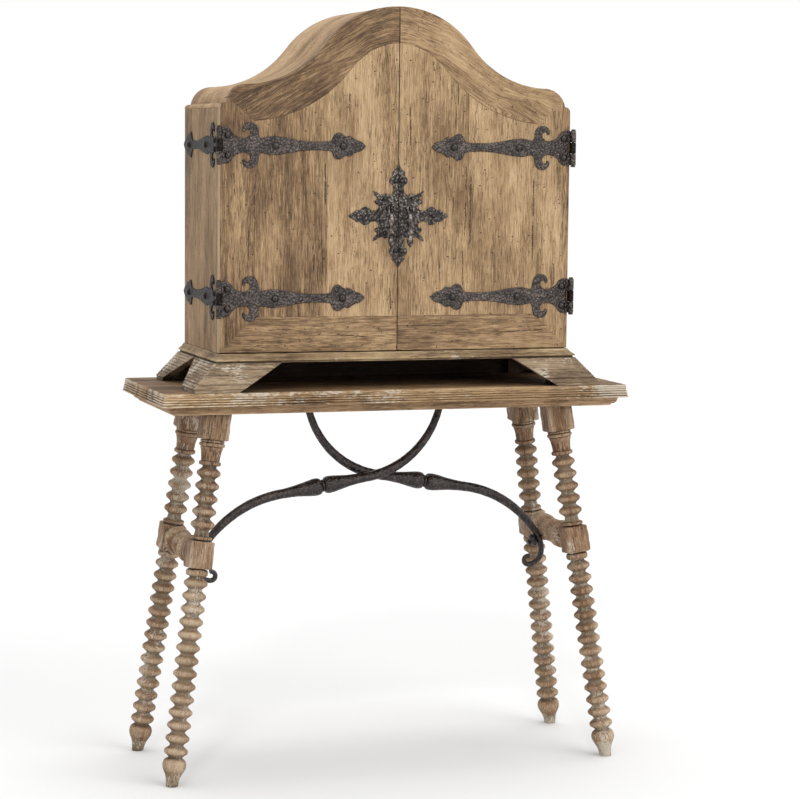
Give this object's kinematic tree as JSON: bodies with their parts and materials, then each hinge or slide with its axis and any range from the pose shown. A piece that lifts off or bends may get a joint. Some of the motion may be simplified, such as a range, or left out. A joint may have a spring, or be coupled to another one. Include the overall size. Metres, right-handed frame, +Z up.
{
  "type": "vargueno cabinet on stand",
  "caption": "Two-door cabinet with a camel-backed top on bracket feet, on a table with splayed turned legs and crossing wrought irons.",
  "frame": {"origin": "on the floor, under the middle of the table top", "axes": "+X to the right when the doors are faced, +Y to the back, +Z up"},
  "size_m": [1.26, 0.478, 1.98],
  "materials": {
    "table_wood": "old walnut, worn, with remnants of paint",
    "moulding_wood": "old walnut, scraped",
    "leg_wood": "turned walnut, limed and worn",
    "foot_wood": "carved walnut, limed",
    "inner_wood": "plain sawn wood",
    "side_wood": "old walnut boards",
    "roof_wood": "old walnut boards",
    "door_wood": "weathered walnut planks",
    "brace_iron": "forged, dark",
    "strap_iron": "forged sheet, dark"
  },
  "bodies": {
    "cabinet_and_stand": {"back_board": "inner_wood", "back_skirt": "inner_wood", "brace_bolts": "brace_iron", "bracket_foot_back_left": "foot_wood", "bracket_foot_back_right": "foot_wood", "bracket_foot_front_left": "foot_wood", "bracket_foot_front_right": "foot_wood", "cabinet_bottom": "inner_wood", "cabinet_side_left": "side_wood", "cabinet_side_right": "side_wood", "door_catches": "strap_iron", "foot_blocks": "inner_wood", "hinge_pins": "strap_iron", "iron_left": "brace_iron", "iron_right": "brace_iron", "leg_back_left": "leg_wood", "leg_back_right": "leg_wood", "leg_front_left": "leg_wood", "leg_front_right": "leg_wood", "plinth": "foot_wood", "roof": "roof_wood", "shelf_cleats": "inner_wood", "shelf_lower": "inner_wood", "shelf_upper": "inner_wood", "side_leaf_lower_left": "strap_iron", "side_leaf_lower_right": "strap_iron", "side_leaf_upper_left": "strap_iron", "side_leaf_upper_right": "strap_iron", "stretcher_left": "leg_wood", "stretcher_right": "leg_wood", "table_top": "table_wood", "under_board": "moulding_wood"},
    "door_left": {"door_bottom_rail_left": "door_wood", "door_inner_plank_left": "door_wood", "door_leaf_lower_left": "strap_iron", "door_leaf_upper_left": "strap_iron", "door_outer_plank_left": "door_wood", "door_stile_left": "door_wood", "door_top_rail_left": "door_wood", "escutcheon_left": "strap_iron", "pull_bracket_left": "strap_iron", "pull_pin_left": "strap_iron"},
    "door_right": {"door_bottom_rail_right": "door_wood", "door_inner_plank_right": "door_wood", "door_leaf_lower_right": "strap_iron", "door_leaf_upper_right": "strap_iron", "door_outer_plank_right": "door_wood", "door_stile_right": "door_wood", "door_top_rail_right": "door_wood", "escutcheon_right": "strap_iron", "pull_bracket_right": "strap_iron", "pull_pin_right": "strap_iron"},
    "pull_left": {"pull_left": "strap_iron"},
    "pull_right": {"pull_right": "strap_iron"}
  },
  "joints": [
    {"name": "left_door_hinge", "type": "hinge", "parent": "cabinet_and_stand", "child": "door_left", "pos_m": [-0.4765, -0.1966, 1.4315], "axis": [0, 0, -1], "range_deg": [0, 170]},
    {"name": "right_door_hinge", "type": "hinge", "parent": "cabinet_and_stand", "child": "door_right", "pos_m": [0.4765, -0.1966, 1.4315], "axis": [0, 0, 1], "range_deg": [0, 170]},
    {"name": "left_pull_hinge", "type": "hinge", "parent": "door_left", "child": "pull_left", "pos_m": [-0.0255, -0.2086, 1.4675], "axis": [-1, 0, 0], "range_deg": [0, 80]},
    {"name": "right_pull_hinge", "type": "hinge", "parent": "door_right", "child": "pull_right", "pos_m": [0.0255, -0.2086, 1.4675], "axis": [-1, 0, 0], "range_deg": [0, 80]}
  ]
}
